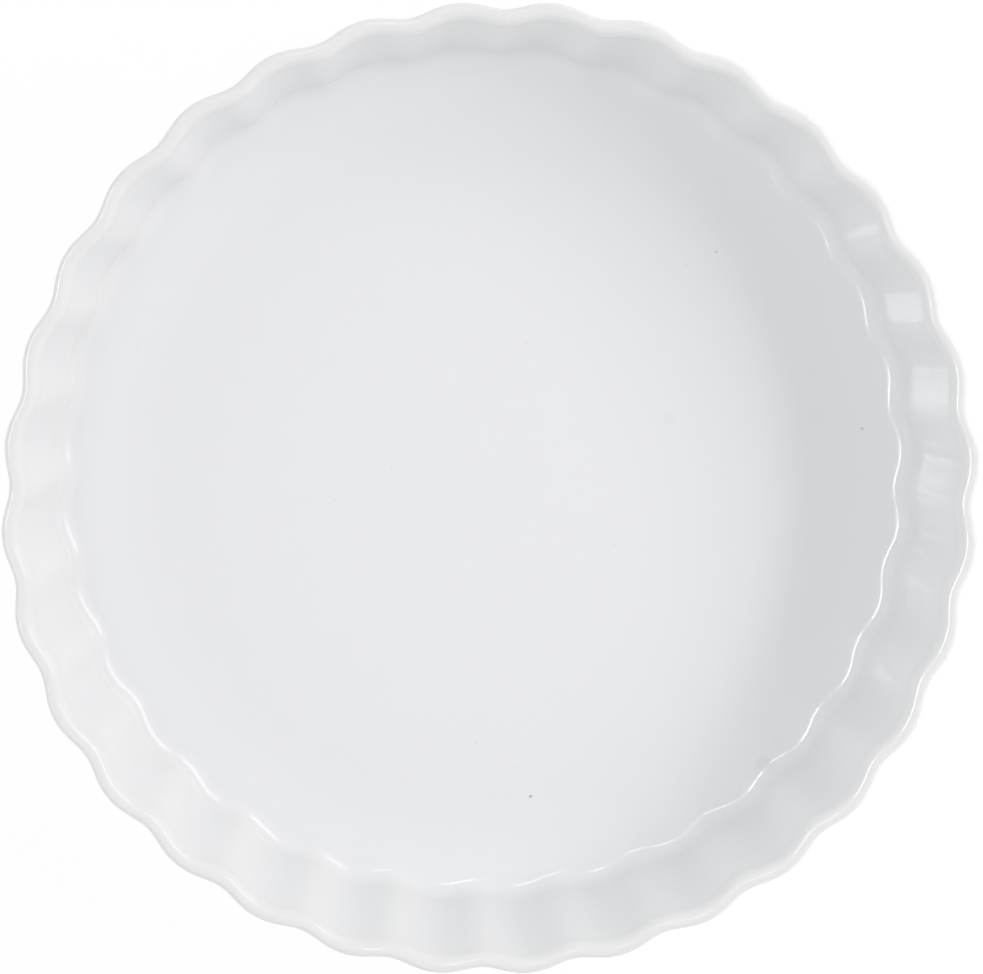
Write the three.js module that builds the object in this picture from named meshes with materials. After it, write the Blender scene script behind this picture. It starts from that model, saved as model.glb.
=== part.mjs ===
// A round porcelain baking dish with a fluted wall, in millimetres, +Z up.
// The origin is at the centre of the face that the foot ring stands on.
// The fired dish is one piece. It is divided here at level planes into the zones that a potter names:
// the bare foot ring, the base, the fluted wall that stands on the base, and the rounded rim on the wall.
import * as THREE from "three";
import { mergeVertices } from "three/addons/utils/BufferGeometryUtils.js";

// Overall sizes
const RIM_DIAMETER = 280; // across two opposite flute crests, at the widest
const OVERALL_HEIGHT = 50;

// Foot ring
const FOOT_HEIGHT = 2;
const FOOT_WIDTH = 5;
const FOOT_EDGE = 0.8; // bevel on both lower edges
const FOOT_INSET = 6; // from the edge of the flat underside to the outside of the foot

// Base
const BASE_THICKNESS = 5;
const BASE_EDGE_RADIUS = 4.5; // where the outside of the wall turns under the dish

// Wall
const WALL_THICKNESS = 4.5;
const WALL_FLARE = 11.5; // degrees from upright
const FLOOR_FILLET = 5.8; // where the inside of the wall meets the floor

// Rim
const RIM_HEIGHT = 3; // the part of the wall that belongs to the rim, whose inner face curves over to the top
const RIM_OUTER_RADIUS = 1.4; // the inner curve takes what this leaves of the wall's thickness

// Flutes
const FLUTE_COUNT = 32;
const FLUTE_DEPTH = 2.3; // from crest to valley, at the rim
const FLUTE_FULLNESS = 0.08; // broadens the crests and narrows the valleys

// Fineness of the faceted surfaces
const STEPS_PER_FLUTE = 8;
const FOOT_STEPS = 128;
const ARC_STEPS = 3;
const LIP_STEPS = 4;

// Levels
const undersideLevel = FOOT_HEIGHT;
const floorLevel = undersideLevel + BASE_THICKNESS;
const rimLevel = OVERALL_HEIGHT - RIM_HEIGHT;

// Flute wave: 1 - FLUTE_FULLNESS at a crest, -1 - FLUTE_FULLNESS at a valley.
const wave = (angle) =>
  Math.cos(FLUTE_COUNT * angle) - FLUTE_FULLNESS * Math.cos(2 * FLUTE_COUNT * angle);
const rimRadius = RIM_DIAMETER / 2 - (FLUTE_DEPTH / 2) * wave(0);
const fluteShare = FLUTE_DEPTH / 2 / rimRadius;
const valleyScale = 1 + fluteShare * wave(Math.PI / FLUTE_COUNT);

// The wall's two faces, midway between crest and valley, as radius against height.
// The outer face is tangent to the rim's outer rounding, and the inner face lies one wall thickness inside it.
const flare = THREE.MathUtils.degToRad(WALL_FLARE);
const rimCentre = new THREE.Vector2(rimRadius - RIM_OUTER_RADIUS, OVERALL_HEIGHT - RIM_OUTER_RADIUS);
const outerFace = (z) =>
  rimCentre.x + RIM_OUTER_RADIUS / Math.cos(flare) + (z - rimCentre.y) * Math.tan(flare);
const innerFace = (z) => outerFace(z) - WALL_THICKNESS / Math.cos(flare);
const onOuterFace = (z) => new THREE.Vector2(outerFace(z), z);
const onInnerFace = (z) => new THREE.Vector2(innerFace(z), z);

// Points of a round between two angles, given in the plane of radius and height.
function arc(centre, radius, from, to) {
  const points = [];
  for (let i = 0; i <= ARC_STEPS; i++) {
    const angle = THREE.MathUtils.lerp(from, to, i / ARC_STEPS);
    points.push(new THREE.Vector2(centre.x + radius * Math.cos(angle), centre.y + radius * Math.sin(angle)));
  }
  return points;
}

// The centre of a round that is tangent to a level plane below it and to a wall face outside it.
const roundCentre = (face, level, radius) =>
  new THREE.Vector2(face(level + radius) - radius / Math.cos(flare), level + radius);

// A solid of revolution about +Z. The profile runs anticlockwise with the radius to the right and +Z up.
function turned(profile, steps) {
  const geometry = new THREE.LatheGeometry(profile, steps);
  geometry.rotateX(Math.PI / 2);
  geometry.deleteAttribute("normal");
  geometry.deleteAttribute("uv");
  return geometry;
}

// A turned solid whose radius swells and shrinks with the flutes.
function fluted(profile) {
  const geometry = turned(profile, FLUTE_COUNT * STEPS_PER_FLUTE);
  const position = geometry.getAttribute("position");
  for (let i = 0; i < position.count; i++) {
    const scale = 1 + fluteShare * wave(Math.atan2(position.getY(i), position.getX(i)));
    position.setX(i, position.getX(i) * scale);
    position.setY(i, position.getY(i) * scale);
  }
  return geometry;
}

// One closed body with shared vertices, shaded by its own faces.
function closed(geometry) {
  const merged = mergeVertices(geometry);
  merged.computeVertexNormals();
  return merged;
}

const glazedPorcelain = (name) =>
  new THREE.MeshStandardMaterial({ name, color: 0xeeeff1, roughness: 0.08, metalness: 0 });
const barePorcelain = (name) =>
  new THREE.MeshStandardMaterial({ name, color: 0xe9e5dc, roughness: 0.8, metalness: 0 });

function piece(name, geometry, material) {
  const mesh = new THREE.Mesh(closed(geometry), material);
  mesh.name = name;
  return mesh;
}

// Base: a fluted plate, flat above and below, with a rounded lower edge.
const baseEdge = roundCentre(outerFace, undersideLevel, BASE_EDGE_RADIUS);

function basePlate() {
  const profile = [
    new THREE.Vector2(0, undersideLevel),
    ...arc(baseEdge, BASE_EDGE_RADIUS, -Math.PI / 2, -flare),
    onOuterFace(floorLevel),
    new THREE.Vector2(0, floorLevel),
  ];
  return piece("base_plate", fluted(profile), glazedPorcelain("base glaze"));
}

// Foot ring: a plain bevelled ring under the flat of the base, clear of the flute valleys.
function footRing() {
  const outside = baseEdge.x * valleyScale - FOOT_INSET;
  const inside = outside - FOOT_WIDTH;
  const profile = [
    new THREE.Vector2(inside, FOOT_EDGE),
    new THREE.Vector2(inside + FOOT_EDGE, 0),
    new THREE.Vector2(outside - FOOT_EDGE, 0),
    new THREE.Vector2(outside, FOOT_EDGE),
    new THREE.Vector2(outside, undersideLevel),
    new THREE.Vector2(inside, undersideLevel),
    new THREE.Vector2(inside, FOOT_EDGE),
  ];
  return piece("foot_ring", turned(profile, FOOT_STEPS), barePorcelain("bare foot"));
}

// Fluted wall: a flared ring that stands on the base, with a fillet round the floor.
function flutedWall() {
  const fillet = roundCentre(innerFace, floorLevel, FLOOR_FILLET);
  const profile = [
    onOuterFace(floorLevel),
    onOuterFace(rimLevel),
    onInnerFace(rimLevel),
    ...arc(fillet, FLOOR_FILLET, -flare, -Math.PI / 2),
    onOuterFace(floorLevel),
  ];
  return piece("fluted_wall", fluted(profile), glazedPorcelain("wall glaze"));
}

// Rounded rim: a tight outer rounding and a long inner curve, which meet at the top of the dish.
function roundedRim() {
  const top = new THREE.Vector2(rimCentre.x, OVERALL_HEIGHT);
  const outerRound = arc(rimCentre, RIM_OUTER_RADIUS, 0, Math.PI / 2);
  const innerCurve = new THREE.QuadraticBezierCurve(top, onInnerFace(OVERALL_HEIGHT), onInnerFace(rimLevel));
  const profile = [
    onInnerFace(rimLevel),
    onOuterFace(rimLevel),
    ...outerRound,
    ...innerCurve.getPoints(LIP_STEPS).slice(1),
  ];
  return piece("rounded_rim", fluted(profile), glazedPorcelain("rim glaze"));
}

const dish = new THREE.Group();
dish.add(footRing(), basePlate(), flutedWall(), roundedRim());

export default dish;
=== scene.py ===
# %% [markdown]
# # A fluted porcelain baking dish
# The dish is one fired body of porcelain with a glossy white glaze, open at the top, with a wall that runs
# The imported model gives its real size and place, so everything here is worked out from that frame,
# in metres.

# %% Load the frame
import math

import bpy
import numpy as np
from mathutils import Matrix, Vector


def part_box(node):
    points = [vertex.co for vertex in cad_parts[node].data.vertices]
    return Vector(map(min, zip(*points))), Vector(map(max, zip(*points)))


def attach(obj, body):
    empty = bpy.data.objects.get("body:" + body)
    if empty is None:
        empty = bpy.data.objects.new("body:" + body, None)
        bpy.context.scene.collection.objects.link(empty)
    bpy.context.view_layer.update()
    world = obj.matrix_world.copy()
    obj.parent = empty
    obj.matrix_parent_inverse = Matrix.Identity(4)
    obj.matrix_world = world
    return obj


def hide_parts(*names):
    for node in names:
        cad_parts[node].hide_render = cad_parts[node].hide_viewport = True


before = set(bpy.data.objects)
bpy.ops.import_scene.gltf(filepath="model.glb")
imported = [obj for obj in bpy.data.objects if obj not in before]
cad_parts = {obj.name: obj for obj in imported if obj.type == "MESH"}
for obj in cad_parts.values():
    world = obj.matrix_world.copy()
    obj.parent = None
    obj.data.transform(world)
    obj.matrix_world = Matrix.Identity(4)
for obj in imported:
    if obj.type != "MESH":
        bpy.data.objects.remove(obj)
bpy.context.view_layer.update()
MM = 0.001

# %% [markdown]
# ## Sizes
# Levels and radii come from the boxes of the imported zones: the foot ring, the base and the rim.
# What a box can't tell, such as the wall's thickness, is a named size here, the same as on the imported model.
# Radii are meant midway between the crest and the valley of a flute, because the flutes are added afterwards.

# %% Read the levels and radii
FLUTE_COUNT = 32
FLUTE_DEPTH = 2.3 * MM
FLUTE_FULLNESS = 0.08
WALL_THICKNESS = 4.5 * MM
WALL_FLARE = math.radians(11.5)
FLOOR_FILLET = 5.8 * MM
BASE_EDGE_RADIUS = 4.5 * MM
RIM_OUTER_RADIUS = 1.4 * MM
RIM_HEIGHT = 3.0 * MM
FOOT_WIDTH = 5.0 * MM
FOOT_EDGE = 0.8 * MM

rim_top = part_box("rounded_rim")[1]
floor_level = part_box("base_plate")[1].z
underside_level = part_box("base_plate")[0].z
foot_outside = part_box("foot_ring")[1].x
rim_radius = rim_top.x - FLUTE_DEPTH / 2 * (1 - FLUTE_FULLNESS)
print("rim radius", round(rim_radius / MM, 2), "mm, floor at", round(floor_level / MM, 2), "mm")

# %% [markdown]
# ## The flutes
# The wave of the wall was cut into the mould, so it is the same from the floor to the rim and regular round
# the dish. A cosine gives round crests and valleys alike. A little of its second harmonic, taken away,
# broadens the crests and narrows the valleys, which is how the real outline looks. We scale the radius
# instead of moving points along normals, so that the inside and the outside of the wall stay in step.

# %% Flute wave
FLUTE_STEPS = 24  # points round the dish for each flute


def flute_wave(angle):
    """Cosine of the flute count times the angle, less a small share of the cosine of twice that."""
    turn = FLUTE_COUNT * angle
    return np.cos(turn) - FLUTE_FULLNESS * np.cos(2 * turn)


angles = np.linspace(0, 2 * np.pi, FLUTE_COUNT * FLUTE_STEPS, endpoint=False)
flute_share = FLUTE_DEPTH / 2 / rim_radius
print("flute steps round the dish:", len(angles))

# %% [markdown]
# ## From numbers to a mesh
# Every piece here is a grid of points: rows along a profile, columns round the axis. The columns close on
# themselves. A profile that starts and ends on the axis gets one single point at each end, with a fan of
# triangles, so that no thin sliver is left there. A profile that closes on itself joins its last row to its
# first.

# %% Grid to mesh


def ring_faces(rows, columns, closed):
    """Quads from each row to the next, taken round the columns; closed joins the last row to the first."""
    row, column = np.meshgrid(np.arange(rows if closed else rows - 1), np.arange(columns), indexing="ij")
    here, above = row * columns, (row + 1) % rows * columns
    beside = (column + 1) % columns
    corners = [here + column, here + beside, above + beside, above + column]
    return np.stack(corners, axis=-1).reshape(-1, 4)


def grid_object(name, grid, closed):
    """A smooth mesh from a grid of points (rows, columns, 3); an open grid gets a pole at each end."""
    rows, columns = grid.shape[:2]
    points = grid.reshape(-1, 3)
    faces = ring_faces(rows, columns, closed).tolist()
    if not closed:
        here = np.arange(columns)
        beside = (here + 1) % columns
        first, last = np.full(columns, len(points)), np.full(columns, len(points) + 1)
        last_row = (rows - 1) * columns
        poles = grid[[0, -1]].mean(axis=1)
        poles[:, :2] = 0.0
        points = np.vstack([points, poles])
        faces += np.stack([first, beside, here], axis=-1).tolist()
        faces += np.stack([last, last_row + here, last_row + beside], axis=-1).tolist()
    mesh = bpy.data.meshes.new(name)
    mesh.from_pydata(points.tolist(), [], faces)
    mesh.polygons.foreach_set("use_smooth", np.ones(len(mesh.polygons), dtype=bool))
    mesh.update()
    piece = bpy.data.objects.new(name, mesh)
    bpy.context.scene.collection.objects.link(piece)
    print(name, "has", len(mesh.polygons), "faces")
    return piece


# %% [markdown]
# ## Lines and curves of a section
# A potter draws a dish as half of its section, from straight stretches, rounds and one longer bend at the
# lip. Smooth shading blends the normals between two rings of points. So the points of a straight stretch
# gather at its ends, where it meets a round, and a flat floor mirrors as a flat.

# %% Arc, bend and line


def arc(centre, radius, start, end, steps):
    """Points at a radius from a centre, as the angle goes evenly from start to end, both in degrees."""
    turn = np.radians(np.linspace(start, end, steps))
    return np.stack([centre[0] + radius * np.cos(turn), centre[1] + radius * np.sin(turn)], axis=-1)


def bend(start, corner, end, steps):
    """Curve that leaves start towards corner and reaches end from it: weights (1-t)^2, 2t(1-t) and t^2."""
    t = np.linspace(0, 1, steps)[:, None]
    return (1 - t) ** 2 * np.asarray(start) + 2 * t * (1 - t) * np.asarray(corner) + t ** 2 * np.asarray(end)


def line(start, end, steps):
    """Points between start and end, without either, at shares (1 - cos t) / 2, which gather at both ends."""
    share = (1 - np.cos(np.linspace(0, np.pi, steps + 2)[1:-1, None])) / 2
    return np.asarray(start) * (1 - share) + np.asarray(end) * share


# %% [markdown]
# ## The section of the dish
# Ours starts at the middle of the floor, runs out to the fillet, climbs the inside of the wall, goes over
# the lip, comes down the outside and returns under the base to the axis. The two faces of the wall are
# parallel lines at the flare angle, and each round is placed so that it is tangent to its neighbours.

# %% Faces of the wall
secant, slope = 1 / math.cos(WALL_FLARE), math.tan(WALL_FLARE)
rim_centre = (rim_radius - RIM_OUTER_RADIUS, rim_top.z - RIM_OUTER_RADIUS)


def outer_face(level):
    """Radius of the wall's outer face: a line at the flare angle, tangent to the lip's outer rounding."""
    return rim_centre[0] + RIM_OUTER_RADIUS * secant + (level - rim_centre[1]) * slope


def inner_face(level):
    """Radius of the wall's inner face: the outer face, moved in by the wall's thickness."""
    return outer_face(level) - WALL_THICKNESS * secant


def round_centre(face, level, radius):
    """Centre of a round that touches a level plane from above and a wall face from inside."""
    return face(level + radius) - radius * secant, level + radius


floor_round = round_centre(inner_face, floor_level, FLOOR_FILLET)
base_round = round_centre(outer_face, underside_level, BASE_EDGE_RADIUS)
print("flat of the floor, radius in mm:", round(floor_round[0] / MM, 2))

# %% Section of the dish
FLOOR_STEPS, FILLET_STEPS, INNER_WALL_STEPS, INNER_LIP_STEPS = 20, 20, 10, 16
OUTER_LIP_STEPS, OUTER_WALL_STEPS, BASE_EDGE_STEPS, UNDERSIDE_STEPS = 12, 8, 10, 10

rim_level = rim_top.z - RIM_HEIGHT
wall_tilt = math.degrees(WALL_FLARE)
fillet = arc(floor_round, FLOOR_FILLET, -90, -wall_tilt, FILLET_STEPS)
lip_start, lip_corner = (inner_face(rim_level), rim_level), (inner_face(rim_top.z), rim_top.z)
inner_lip = bend(lip_start, lip_corner, (rim_centre[0], rim_top.z), INNER_LIP_STEPS)
outer_lip = arc(rim_centre, RIM_OUTER_RADIUS, 90, -wall_tilt, OUTER_LIP_STEPS)[1:]
base_edge = arc(base_round, BASE_EDGE_RADIUS, -wall_tilt, -90, BASE_EDGE_STEPS)
inside = np.concatenate([
    line((0, floor_level), fillet[0], FLOOR_STEPS),
    fillet,
    line(fillet[-1], inner_lip[0], INNER_WALL_STEPS),
    inner_lip,
])
outside = np.concatenate([
    outer_lip,
    line(outer_lip[-1], base_edge[0], OUTER_WALL_STEPS),
    base_edge,
    line(base_edge[-1], (0, underside_level), UNDERSIDE_STEPS),
])
section = np.concatenate([inside, outside])
print("points along the section:", len(inside), "inside and", len(outside), "outside")

# %% [markdown]
# ## The glazed dish
# The section is turned round the axis and each point's radius is scaled by the flute wave. On the flat of
# the floor and of the underside the flutes fade out towards the middle, where a real dish has none. Porcelain
# also sags and shrinks unevenly in the kiln, so no rim is a true circle: a few slow waves, each under half a
# millimetre high and together about one, grow with the height of the wall and make the rim follow the
# outline in the picture.

# %% Slow waves of the rim
PHOTO_TURN = math.radians(4.28)  # how far the crest on +X is turned from the picture's right-hand side
OVAL = (2, 0.42, 43)  # waves round the rim, height in mm, place of a crest in the picture in degrees
THREE_WAVES = (3, 0.3, -33)
FIVE_WAVES = (5, 0.3, -11)
SIX_WAVES = (6, 0.23, 16)


def firing_warp(angle):
    """Sum of slow waves round the rim: each is its height times the cosine of its count times the angle."""
    parts = [size * MM * np.cos(count * (angle + PHOTO_TURN - math.radians(crest)))
             for count, size, crest in (OVAL, THREE_WAVES, FIVE_WAVES, SIX_WAVES)]
    return sum(parts)


print("the rim moves by up to", round(float(np.abs(firing_warp(angles)).max()) / MM, 2), "mm")

# %% Turn and flute the section
FLUTE_FADE = 0.12  # share of the floor's radius over which the flutes fade out


def smooth_step(value):
    """0 below 0, 1 above 1, and 3t^2 - 2t^3 between."""
    t = np.clip(value, 0, 1)
    return t * t * (3 - 2 * t)


def fluted_surface(profile):
    """Radius times (1 + share of the wave) plus the warp; the wave fades inwards and the warp downwards."""
    radius, height = profile[:, :1], profile[:, 1:]
    weight = smooth_step((radius / floor_round[0] - (1 - FLUTE_FADE)) / FLUTE_FADE)
    rise = np.clip((height - floor_level) / (rim_top.z - floor_level), 0, 1)
    wavy = radius * (1 + flute_share * weight * flute_wave(angles)) + rise * firing_warp(angles)
    return np.stack([wavy * np.cos(angles), wavy * np.sin(angles), height + 0 * angles], axis=-1)


dish = grid_object("glazed_dish", fluted_surface(section), closed=False)

# %% [markdown]
# ## Where the glaze gathers, and the painted shade of the hollows
# Glaze is a thick liquid in the kiln. It runs down the wall, gathers on the floor and draws away from edges.
# We store two numbers per point and let the glaze's colour follow them later: the depth of the glaze, from
# about -1 on the thin lip to a share of 1 on the floor, and how hollow the waves are, from 0 on a ridge to 1
# in a hollow, with one half where there are no waves. The second number paints shade: the hollows of the waves
# get a darker white.

# %% Glaze depth and the hollows' painted shade
POOL_REACH = 3 * MM  # how far the deeper glaze of the floor climbs the wall
LIP_REACH = 6 * MM  # how far the thin glaze reaches from the lip
FLOOR_SHARE = 0.75
NO_WAVES = 0.5
side_sign = np.repeat([1.0, -1.0], [len(inside), len(outside)])[:, None]


def glaze_depth(profile):
    """A share on the floor, falling off up the wall, less nearness to the lip; both fall as exp(-d^2)."""
    above_floor = (profile[:, 1:] - floor_level) / POOL_REACH
    pooled = FLOOR_SHARE * np.exp(-above_floor ** 2) * (side_sign > 0)
    from_lip = np.hypot(profile[:, :1] - rim_centre[0], profile[:, 1:] - rim_centre[1]) / LIP_REACH
    return pooled - np.exp(-from_lip ** 2) + 0 * angles


def hollow_shade_share(profile):
    """Half, plus half of the flute wave on the wall, turned over on the outside: the share of painted shade.
    """
    on_wall = smooth_step((profile[:, :1] - floor_round[0]) / FLOOR_FILLET)
    return np.clip((1 + on_wall * side_sign * flute_wave(angles)) / 2, 0, 1)


def store_layer(piece, name, grid, at_poles):
    """Puts one number per grid point into an attribute, with the same number at both poles."""
    values = np.append(grid.ravel(), [at_poles, at_poles]).astype(np.float32)
    piece.data.attributes.new(name, "FLOAT", "POINT").data.foreach_set("value", values)
    print(name, "from", round(float(values.min()), 2), "to", round(float(values.max()), 2))


store_layer(dish, "glaze_depth", glaze_depth(section), FLOOR_SHARE)
# Painted shade: the hollows of the waves get a darker white.
store_layer(dish, "hollow_shade_share", hollow_shade_share(section), NO_WAVES)

# %% [markdown]
# ## The foot ring
# A dish is fired standing on a ring that the glaze was wiped from, or it would stick to the kiln shelf. The
# ring is a small round-edged section carried round the axis, with no flutes. A hollow cove leads from it
# into the underside.

# %% Foot ring
FOOT_STEPS = 6  # points on each round of the section
cove = underside_level - FOOT_EDGE
foot_inside = foot_outside - FOOT_WIDTH
foot_section = np.concatenate([
    arc((foot_outside - FOOT_EDGE, FOOT_EDGE), FOOT_EDGE, -90, 0, FOOT_STEPS),
    arc((foot_outside + cove, FOOT_EDGE), cove, 180, 90, FOOT_STEPS)[1:],
    arc((foot_inside - cove, FOOT_EDGE), cove, 90, 0, FOOT_STEPS),
    arc((foot_inside + FOOT_EDGE, FOOT_EDGE), FOOT_EDGE, 180, 270, FOOT_STEPS)[1:],
])


def turned_surface(profile):
    """Each profile point carried round the axis in a plain circle."""
    radius, height = profile[:, :1], profile[:, 1:]
    return np.stack([radius * np.cos(angles), radius * np.sin(angles), height + 0 * angles], axis=-1)


foot = grid_object("bare_foot_ring", turned_surface(foot_section), closed=True)

# %% [markdown]
# ## One helper for nodes
# A material is a small tree of nodes. One helper adds a node, sets its properties and inputs, and makes its
# links, so that each call below reads as one step of the finish. Colours are written as people know them, in
# sRGB hex, and turned to the linear light that shaders use.

# %% Node helper


def hex_colour(text):
    """sRGB hex to linear: up to 0.04045 a straight line, above it a power of 2.4."""
    srgb = np.array([int(text[i:i + 2], 16) for i in (1, 3, 5)]) / 255
    linear = np.where(srgb <= 0.04045, srgb / 12.92, ((srgb + 0.055) / 1.055) ** 2.4)
    return (*linear.tolist(), 1.0)


def add_node(tree, kind, inputs=(), **settings):
    """Adds a node; inputs are (socket, value or output socket to link) pairs."""
    node = tree.nodes.new(kind)
    for name, value in settings.items():
        setattr(node, name, value)
    for socket, value in dict(inputs).items():
        if isinstance(value, bpy.types.NodeSocket):
            tree.links.new(value, node.inputs[socket])
        else:
            node.inputs[socket].default_value = value
    return node


def new_material(name):
    """An empty node material."""
    material = bpy.data.materials.new(name)
    material.use_nodes = True
    material.node_tree.nodes.clear()
    return material, material.node_tree


# %% [markdown]
# ## Marks in the glaze
# No fired white is spotless. Specks of iron in the clay burn to dark points, and dust leaves pale grey spots.
# The largest ones on this dish are placed one by one, in millimetres from the middle of the standing face.
# The finest are scattered at random: a ball round each point of a 3-D Voronoi pattern shows wherever the
# surface happens to cut it.

# %% Marks
MARKS = (  # x, y, z and radius in mm, and darkness
    (6, -97, 7, 0.6, 0.5),  # dark speck on the floor
    (113, 6, 7, 0.55, 0.3),  # fainter speck close to the fillet
    (73, 62, 7, 0.55, 0.2),  # faint speck
    (115.4, 48, 8.4, 0.7, 0.45),  # speck in the fillet
    (77, -93, 7, 3.0, 0.06),  # soft grey spot
    (56, 14, 7, 2.8, 0.02),  # soft pale spot
)
SCATTER_SPACING, SCATTER_RADIUS, SCATTER_DARKNESS = 12 * MM, 0.55 * MM, 0.06


def glaze_marks(tree, place):
    """The strongest mark at a place: each is darkest inside half its reach and gone at its reach."""
    cells = add_node(tree, "ShaderNodeTexVoronoi", [("Vector", place), ("Scale", 1 / SCATTER_SPACING)])
    marks = [(cells.outputs["Distance"], SCATTER_RADIUS / SCATTER_SPACING, SCATTER_DARKNESS)]
    for *spot, radius, darkness in MARKS:
        away = add_node(tree, "ShaderNodeVectorMath", [
            (0, place), (1, Vector(spot) * MM)], operation="DISTANCE")
        marks.append((away.outputs["Value"], radius * MM, darkness))
    strongest = 0.0
    for distance, reach, darkness in marks:
        mark = add_node(tree, "ShaderNodeMapRange", [
            ("Value", distance), ("From Min", reach / 2), ("From Max", reach),
            ("To Min", darkness), ("To Max", 0.0)], interpolation_type="SMOOTHSTEP")
        strongest = add_node(tree, "ShaderNodeMath", [
            (0, strongest), (1, mark.outputs["Result"])], operation="MAXIMUM").outputs[0]
    return strongest


# %% [markdown]
# ## White glazed porcelain
# Porcelain is a dense white body under a clear glassy glaze. The eye sees a bright, slightly cool white and
# sharp, faint reflections. The glaze isn't perfectly even: it flows a little before it sets, so reflections
# wobble over some millimetres, and it looks a shade cooler where it lies thick. So we lay one white over
# another, each as strong as its share at that place, and bend the normals by two fine patterns of lumps. One
# of
# these whites is painted shade: a slightly darker white in the hollows of the waves.

# %% Glaze
# The hollow white is painted shade, a little darker, for the hollows of the waves.
GLAZE_WHITE, CLOUD_WHITE, HOLLOW_SHADE_WHITE = "#EEF0F0", "#EFF0F1", "#ECEEEF"
POOL_WHITE, LIP_WHITE, MARK_COLOUR = "#EDEFF2", "#EBECEC", "#4A463F"
CLOUD_SIZE, CLOUD_DETAIL = 45 * MM, 2.0
FLOW_SIZE, FLOW_HEIGHT = 9 * MM, 0.004 * MM
PEEL_SIZE, PEEL_HEIGHT = 1.8 * MM, 0.001 * MM
LUMP_DETAIL = 1.0
DEEPEST, THINNEST = 1.0, -1.0  # glaze depths at which the pool's and the lip's white are full
GLAZE_ROUGHNESS, GLAZE_IOR = 0.045, 1.5


def glaze_colour(tree, place):
    """Starts from the glaze's white and mixes in each further colour by its share, from 0 to 1."""
    clouds = add_node(tree, "ShaderNodeTexNoise", [
        ("Vector", place), ("Scale", 1 / CLOUD_SIZE), ("Detail", CLOUD_DETAIL)])
    hollow = add_node(tree, "ShaderNodeAttribute", attribute_name="hollow_shade_share")
    depth = add_node(tree, "ShaderNodeAttribute", attribute_name="glaze_depth")
    # The hollow layer is painted shade in the hollows of the waves.
    layers = [(clouds.outputs["Fac"], CLOUD_WHITE), (hollow.outputs["Fac"], HOLLOW_SHADE_WHITE)]
    for full, white in ((DEEPEST, POOL_WHITE), (THINNEST, LIP_WHITE)):
        share = add_node(tree, "ShaderNodeMapRange", [
            ("Value", depth.outputs["Fac"]), ("From Min", full), ("From Max", 0.0),
            ("To Min", 1.0), ("To Max", 0.0)], interpolation_type="SMOOTHSTEP")
        layers.append((share.outputs["Result"], white))
    layers.append((glaze_marks(tree, place), MARK_COLOUR))
    colour = hex_colour(GLAZE_WHITE)
    for share, layer in layers:
        colour = add_node(tree, "ShaderNodeMix", [
            (0, share), (6, colour), (7, hex_colour(layer))], data_type="RGBA").outputs[2]
    return colour


def white_glaze():
    """Glass-like gloss over a white body: a flowing wave in the surface, and a finer peel on top of it."""
    material, tree = new_material("white_glazed_porcelain")
    place = add_node(tree, "ShaderNodeTexCoord").outputs["Object"]
    relief = []
    for size, height in ((FLOW_SIZE, FLOW_HEIGHT), (PEEL_SIZE, PEEL_HEIGHT)):
        lumps = add_node(tree, "ShaderNodeTexNoise", [
            ("Vector", place), ("Scale", 1 / size), ("Detail", LUMP_DETAIL)])
        bump = add_node(tree, "ShaderNodeBump", [
            ("Height", lumps.outputs["Fac"]), ("Strength", 1.0), ("Distance", height), *relief])
        relief = [("Normal", bump.outputs["Normal"])]
    shader = add_node(tree, "ShaderNodeBsdfPrincipled", [
        ("Base Color", glaze_colour(tree, place)), ("Roughness", GLAZE_ROUGHNESS), ("IOR", GLAZE_IOR),
        *relief])
    add_node(tree, "ShaderNodeOutputMaterial", [("Surface", shader.outputs["BSDF"])])
    print(material.name, "has", len(tree.nodes), "nodes")
    return material


dish.data.materials.append(white_glaze())

# %% [markdown]
# ## Bare porcelain
# Where the glaze was wiped off, the fired body is dull, warm white and slightly gritty, with a little tan
# from the kiln shelf. Higher up the sides of the ring the glaze begins again, at a line that wanders because
# it was wiped by hand: we add noise to the height and compare the sum with the level of the line.

# %% Bare foot
BARE_WHITE, SHELF_TAN = "#E6E2D8", "#D3C4AC"
TAN_SIZE, TAN_DETAIL = 20 * MM, 3.0
GLAZE_LINE, LINE_WANDER, LINE_BLUR = 1.35 * MM, 0.5 * MM, 0.08 * MM
WANDER_SIZE, WANDER_DETAIL = 8 * MM, 2.0
GRIT_SIZE, GRIT_HEIGHT = 0.7 * MM, 0.03 * MM  # coarser than the real grain, or it would not show
GRIT_DETAIL = 3.0
WIPED_GLOSS, BARE_ROUGHNESS = 0.07, 0.8  # roughness above and below the line


def bare_share(tree, place):
    """1 below the wandering line and 0 above it, by the height plus noise, with a narrow smooth edge."""
    height = add_node(tree, "ShaderNodeSeparateXYZ", [("Vector", place)])
    lumps = add_node(tree, "ShaderNodeTexNoise", [
        ("Vector", place), ("Scale", 1 / WANDER_SIZE), ("Detail", WANDER_DETAIL)])
    wander = add_node(tree, "ShaderNodeMath", [
        (0, lumps.outputs["Fac"]), (1, LINE_WANDER), (2, height.outputs["Z"])], operation="MULTIPLY_ADD")
    line_level = GLAZE_LINE + LINE_WANDER / 2
    bare = add_node(tree, "ShaderNodeMapRange", [
        ("Value", wander.outputs[0]),
        ("From Min", line_level - LINE_BLUR), ("From Max", line_level + LINE_BLUR),
        ("To Min", 1.0), ("To Max", 0.0)], interpolation_type="SMOOTHSTEP")
    return bare.outputs["Result"]


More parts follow.
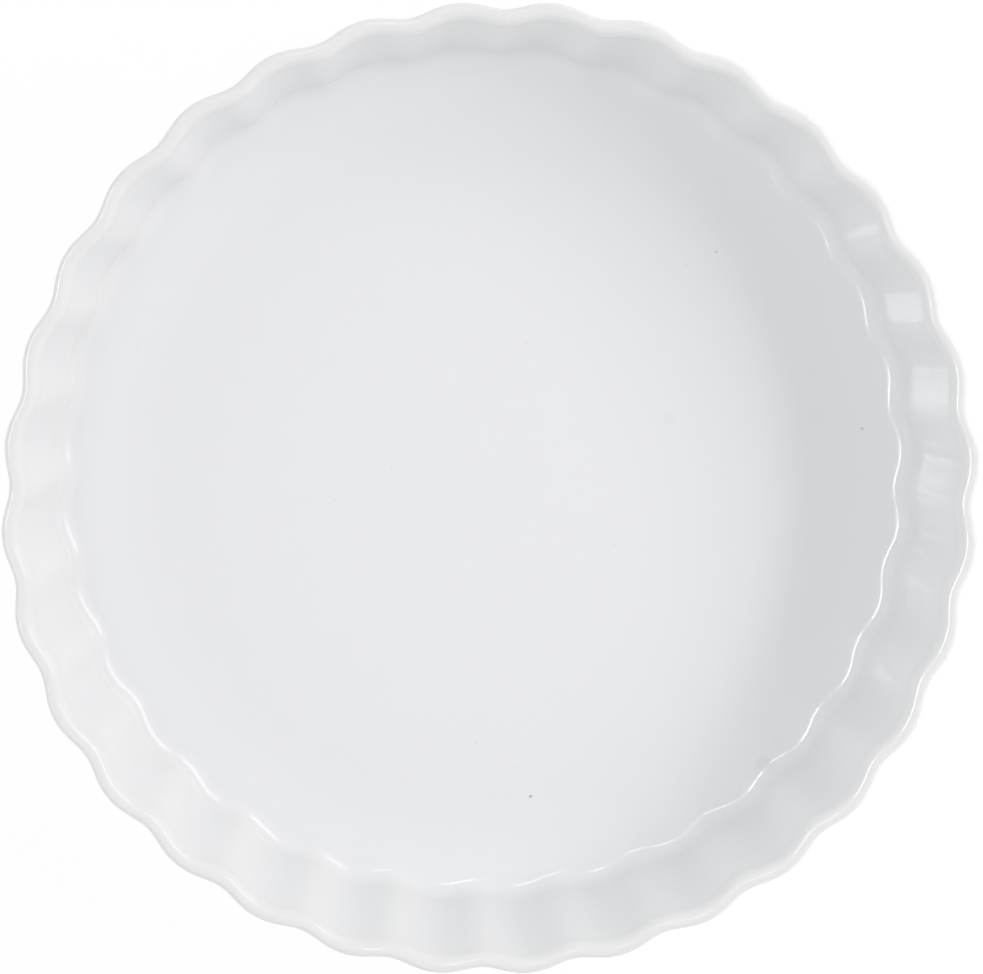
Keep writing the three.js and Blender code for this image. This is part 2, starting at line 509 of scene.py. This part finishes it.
def bare_porcelain():
    """Matte gritty body below the line, with tan clouds, and glaze above it."""
    material, tree = new_material("bare_porcelain")
    place = add_node(tree, "ShaderNodeTexCoord").outputs["Object"]
    bare = bare_share(tree, place)
    clouds = add_node(tree, "ShaderNodeTexNoise", [
        ("Vector", place), ("Scale", 1 / TAN_SIZE), ("Detail", TAN_DETAIL)])
    body = add_node(tree, "ShaderNodeMix", [
        (0, clouds.outputs["Fac"]), (6, hex_colour(BARE_WHITE)), (7, hex_colour(SHELF_TAN))],
        data_type="RGBA")
    colour = add_node(tree, "ShaderNodeMix", [
        (0, bare), (6, hex_colour(GLAZE_WHITE)), (7, body.outputs[2])], data_type="RGBA")
    roughness = add_node(tree, "ShaderNodeMapRange", [
        ("Value", bare), ("To Min", WIPED_GLOSS), ("To Max", BARE_ROUGHNESS)])
    grit = add_node(tree, "ShaderNodeTexNoise", [
        ("Vector", place), ("Scale", 1 / GRIT_SIZE), ("Detail", GRIT_DETAIL)])
    bump = add_node(tree, "ShaderNodeBump", [
        ("Height", grit.outputs["Fac"]), ("Strength", bare), ("Distance", GRIT_HEIGHT)])
    shader = add_node(tree, "ShaderNodeBsdfPrincipled", [
        ("Base Color", colour.outputs[2]), ("Roughness", roughness.outputs["Result"]), ("IOR", GLAZE_IOR),
        ("Normal", bump.outputs["Normal"])])
    add_node(tree, "ShaderNodeOutputMaterial", [("Surface", shader.outputs["BSDF"])])
    print(material.name, "has", len(tree.nodes), "nodes")
    return material


foot.data.materials.append(bare_porcelain())

# %% [markdown]
# ## White floor
# The dish stands on a plain white floor. A ray from the camera or from a mirror sees that floor as paper
# white, with a little of the dish's shadow kept in it. The rays that carry light see an ordinary pale
# surface, so that the white adds no light of its own to the dish.

# %% Floor
FLOOR_HALF, FLOOR_DROP = 1.5, 0.1 * MM  # just under the foot, so that the two never share a plane
FLOOR_WHITE, NEUTRAL_WHITE = "#FDFDFD", "#FFFFFF"
FLOOR_SHADOW = 0.1  # share of the lit floor, and so of its shadow, in what the camera sees
PAPER_STRENGTH = 1.012  # makes up for what the lit floor's share takes from white


def seen_straight(tree):
    """1 for a ray from the camera, a mirror or glass, and 0 for the rays that carry light."""
    path = add_node(tree, "ShaderNodeLightPath")
    mirrored = add_node(tree, "ShaderNodeMath", [
        (0, path.outputs["Is Camera Ray"]), (1, path.outputs["Is Glossy Ray"])], operation="MAXIMUM")
    either = add_node(tree, "ShaderNodeMath", [
        (0, mirrored.outputs[0]), (1, path.outputs["Is Transmission Ray"])], operation="MAXIMUM")
    return either.outputs[0]


def white_floor():
    """Pale diffuse floor; seen straight, mostly plain white light, the rest the lit floor with its shadow."""
    material, tree = new_material("white_floor")
    share = add_node(tree, "ShaderNodeMath", [
        (0, seen_straight(tree)), (1, 1 - FLOOR_SHADOW)], operation="MULTIPLY")
    matte = add_node(tree, "ShaderNodeBsdfDiffuse", [("Color", hex_colour(FLOOR_WHITE))])
    white = add_node(tree, "ShaderNodeEmission", [
        ("Color", hex_colour(NEUTRAL_WHITE)), ("Strength", PAPER_STRENGTH)])
    mixed = add_node(tree, "ShaderNodeMixShader", [
        (0, share.outputs[0]), (1, matte.outputs["BSDF"]), (2, white.outputs["Emission"])])
    add_node(tree, "ShaderNodeOutputMaterial", [("Surface", mixed.outputs["Shader"])])
    return material


floor_mesh = bpy.data.meshes.new("studio_floor")
floor_corners = np.array([(-1, -1, 0), (1, -1, 0), (1, 1, 0), (-1, 1, 0)]) * FLOOR_HALF - (0, 0, FLOOR_DROP)
floor_mesh.from_pydata(floor_corners.tolist(), [], [(0, 1, 2, 3)])
floor_mesh.materials.append(white_floor())
floor = bpy.data.objects.new("studio_floor", floor_mesh)
bpy.context.scene.collection.objects.link(floor)
print("floor of", 2 * FLOOR_HALF, "m a side")

# %% [markdown]
# ## White surround
# The studio is white all round, with a dimmer gap higher up and a bright panel overhead, which shades the
# wall of the dish softly from top to bottom. Seen straight it is plain white, as the floor is.

# %% World
SIDES, GAP, OVERHEAD = 0.85, 0.26, 2.45  # strengths of the light
GAP_START, GAP_END = (43, 49), (74, 82)  # elevations in degrees between which the strength changes


def white_surround():
    """Sides, gap and panel by two smooth steps of the look's height, the sine of its elevation, added up."""
    world = bpy.data.worlds.new("white_surround")
    world.use_nodes = True
    tree = world.node_tree
    tree.nodes.clear()
    way = add_node(tree, "ShaderNodeTexCoord").outputs["Generated"]
    height = add_node(tree, "ShaderNodeSeparateXYZ", [("Vector", way)]).outputs["Z"]
    steps = []
    for edges, low, high in ((GAP_START, SIDES, GAP), (GAP_END, 0.0, OVERHEAD - GAP)):
        start, end = [math.sin(math.radians(edge)) for edge in edges]
        step = add_node(tree, "ShaderNodeMapRange", [
            ("Value", height), ("From Min", start), ("From Max", end), ("To Min", low), ("To Max", high)],
            interpolation_type="SMOOTHSTEP")
        steps.append(step.outputs["Result"])
    level = add_node(tree, "ShaderNodeMath", enumerate(steps), operation="ADD")
    strength = add_node(tree, "ShaderNodeMix", [
        ("Factor", seen_straight(tree)), ("A", level.outputs[0]), ("B", 1.0)])
    light = add_node(tree, "ShaderNodeBackground", [
        ("Color", hex_colour(NEUTRAL_WHITE)), ("Strength", strength.outputs["Result"])])
    add_node(tree, "ShaderNodeOutputWorld", [("Surface", light.outputs["Background"])])
    print(world.name, "has", len(tree.nodes), "nodes")
    return world


bpy.context.scene.world = white_surround()

# %% [markdown]
# ## Soft boxes
# Two soft boxes low on one side are the key light, a little warmer than the rest, and a high and a low fill
# stand across from them. Gloss asks for more: what it mirrors are bright shapes with edges. So some panels
# show only in the gloss and add no light, and the key's boxes leave the gloss to a dimmer panel in their
# place. Directions are counted in the picture, from its right-hand side.

# %% Lamps
LAMP_DISTANCE = 1.6
WARM_WHITE = "#FFF7F5"


def soft_box(name, azimuth, elevation, size, radiance, colour=NEUTRAL_WHITE, lights=True, gleams=True):
    """A lamp that faces the dish, of power radiance x pi x area; it may leave out its light or its gleam."""
    turn, rise = math.radians(azimuth) - PHOTO_TURN, math.radians(elevation)
    way = Vector((math.cos(rise) * math.cos(turn), math.cos(rise) * math.sin(turn), math.sin(rise)))
    lamp = bpy.data.lights.new(name, "AREA")
    lamp.shape = "RECTANGLE"
    lamp.size, lamp.size_y = size
    lamp.energy = radiance * math.pi * size[0] * size[1]
    lamp.color = hex_colour(colour)[:3]
    box = bpy.data.objects.new(name, lamp)
    box.location = way * LAMP_DISTANCE
    box.rotation_mode = "QUATERNION"
    box.rotation_quaternion = way.to_track_quat("Z", "Y")
    box.visible_diffuse = lights
    box.visible_glossy = gleams
    bpy.context.scene.collection.objects.link(box)
    print(name, "sends", round(lamp.energy, 2), "W")


# Azimuth and elevation in degrees, width and height in metres, radiance
soft_box("key_upper_box", 8, 40.8, (0.7, 0.2), 8.2, WARM_WHITE, gleams=False)
soft_box("key_lower_box", 23, 30, (1.2, 0.44), 3.35, WARM_WHITE, gleams=False)
soft_box("key_gleam", 26, 34, (1.1, 0.6), 2.6, lights=False)
soft_box("fill_high", 180, 68, (1.2, 0.5), 1.6)
soft_box("fill_low", 180, 30, (1.2, 0.4), 0.5, gleams=False)
soft_box("gleam_panel_upper", 157, 64, (0.125, 0.17), 14, lights=False)
soft_box("gleam_panel_middle", 177.4, 62, (0.42, 0.17), 14, lights=False)
soft_box("gleam_panel_lower", 201.9, 62.3, (0.24, 0.125), 9, lights=False)
soft_box("small_gleam", 103, 76, (0.3, 0.16), 8.0, lights=False)

# %% [markdown]
# ## Camera
# The photograph looks almost straight down. Its lens and place were worked out from the rim and the floor's
# edge: the camera is tilted by a few degrees, so more of the wall's inside shows at the bottom.

# %% Camera
CAMERA_TILT = math.radians(7.0)
CAMERA_LEAN = math.radians(3.0)
CAMERA_DISTANCE = 990 * MM
CAMERA_ASIDE = (-0.7 * MM, 2.65 * MM)
PIXELS_PER_RIM_RADIUS = 486.8
PICTURE_WIDTH = 983
SENSOR_WIDTH = 36.0

look = (Matrix.Rotation(CAMERA_TILT, 3, "X") @ Matrix.Rotation(CAMERA_LEAN, 3, "Y")
        @ Matrix.Rotation(PHOTO_TURN, 3, "Z")).transposed()
lens = bpy.data.cameras.new("camera")
lens.sensor_width = SENSOR_WIDTH
lens.lens = PIXELS_PER_RIM_RADIUS * CAMERA_DISTANCE / rim_radius * SENSOR_WIDTH / PICTURE_WIDTH
camera = bpy.data.objects.new("camera", lens)
camera.matrix_world = Matrix.Translation(
    look @ Vector((*CAMERA_ASIDE, CAMERA_DISTANCE)) + Vector((0, 0, rim_centre[1]))) @ look.to_4x4()
bpy.context.scene.collection.objects.link(camera)
bpy.context.scene.camera = camera
bpy.context.scene.view_settings.view_transform = "Standard"
print("lens", round(lens.lens, 1), "mm")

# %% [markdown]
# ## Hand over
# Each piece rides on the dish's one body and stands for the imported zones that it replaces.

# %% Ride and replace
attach(dish, "root")
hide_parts("base_plate", "fluted_wall", "rounded_rim")
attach(foot, "root")
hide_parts("foot_ring")
print("handed over:", dish.name, "and", foot.name)
